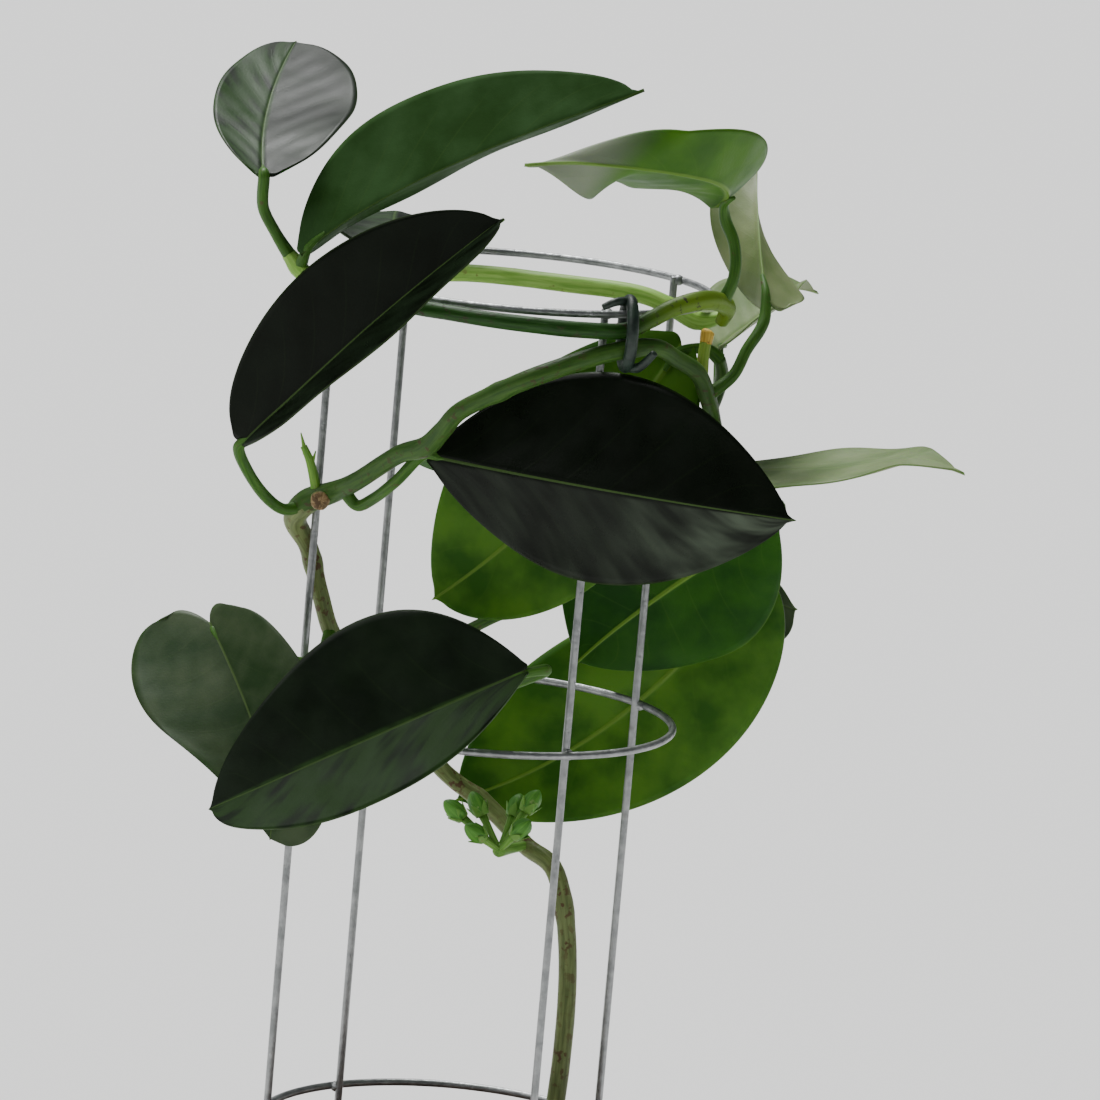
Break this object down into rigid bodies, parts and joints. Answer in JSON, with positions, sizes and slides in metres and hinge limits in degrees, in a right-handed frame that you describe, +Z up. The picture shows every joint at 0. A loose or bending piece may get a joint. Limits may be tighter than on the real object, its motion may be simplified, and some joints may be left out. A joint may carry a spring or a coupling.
{
  "type": "potted stephanotis",
  "caption": "Young wax flower vine with leathery oval leaves, twined up a round welded wire cage in a plain nursery pot.",
  "frame": {"origin": "centre of the pot's flat underside", "axes": "+Z up along the cage's uprights, -Y towards the viewer of the picture, +X to the viewer's right"},
  "size_m": [0.2092, 0.1738, 0.4064],
  "materials": {
    "pot_plastic": "matte moulded polypropylene",
    "potting_soil": "damp peat and bark mix",
    "galvanised_wire": "galvanised",
    "tie_plastic": "coated twist tie",
    "vine_stem": "green stem with fine brown flecks",
    "leaf_blade": "thick waxy leaf",
    "flower_bud": "waxy green bud"
  },
  "bodies": {
    "root": {"pot": "pot_plastic", "soil": "potting_soil", "ring_low": "galvanised_wire", "ring_middle": "galvanised_wire", "ring_top": "galvanised_wire", "upright_front": "galvanised_wire", "upright_right": "galvanised_wire", "upright_back": "galvanised_wire", "upright_left": "galvanised_wire", "tie": "tie_plastic", "vine_main": "vine_stem", "vine_climber": "vine_stem", "vine_ring": "vine_stem", "vine_cross": "vine_stem", "broken_shoot": "vine_stem", "cut_stub": "vine_stem", "bud_cluster": "flower_bud", "leaf_centre": "leaf_blade", "leaf_upper_left": "leaf_blade", "leaf_lower_front": "leaf_blade", "leaf_left": "leaf_blade", "leaf_inner": "leaf_blade", "leaf_back_low": "leaf_blade", "leaf_back_high": "leaf_blade", "leaf_back_outer": "leaf_blade", "leaf_top_left": "leaf_blade", "leaf_top_rear": "leaf_blade", "leaf_top_right": "leaf_blade", "leaf_side_tall": "leaf_blade", "leaf_side_far": "leaf_blade", "leaf_side_flat": "leaf_blade", "leaf_rear_left": "leaf_blade", "leaf_rear_middle": "leaf_blade", "leaf_rear_upper": "leaf_blade"}
  },
  "joints": []
}
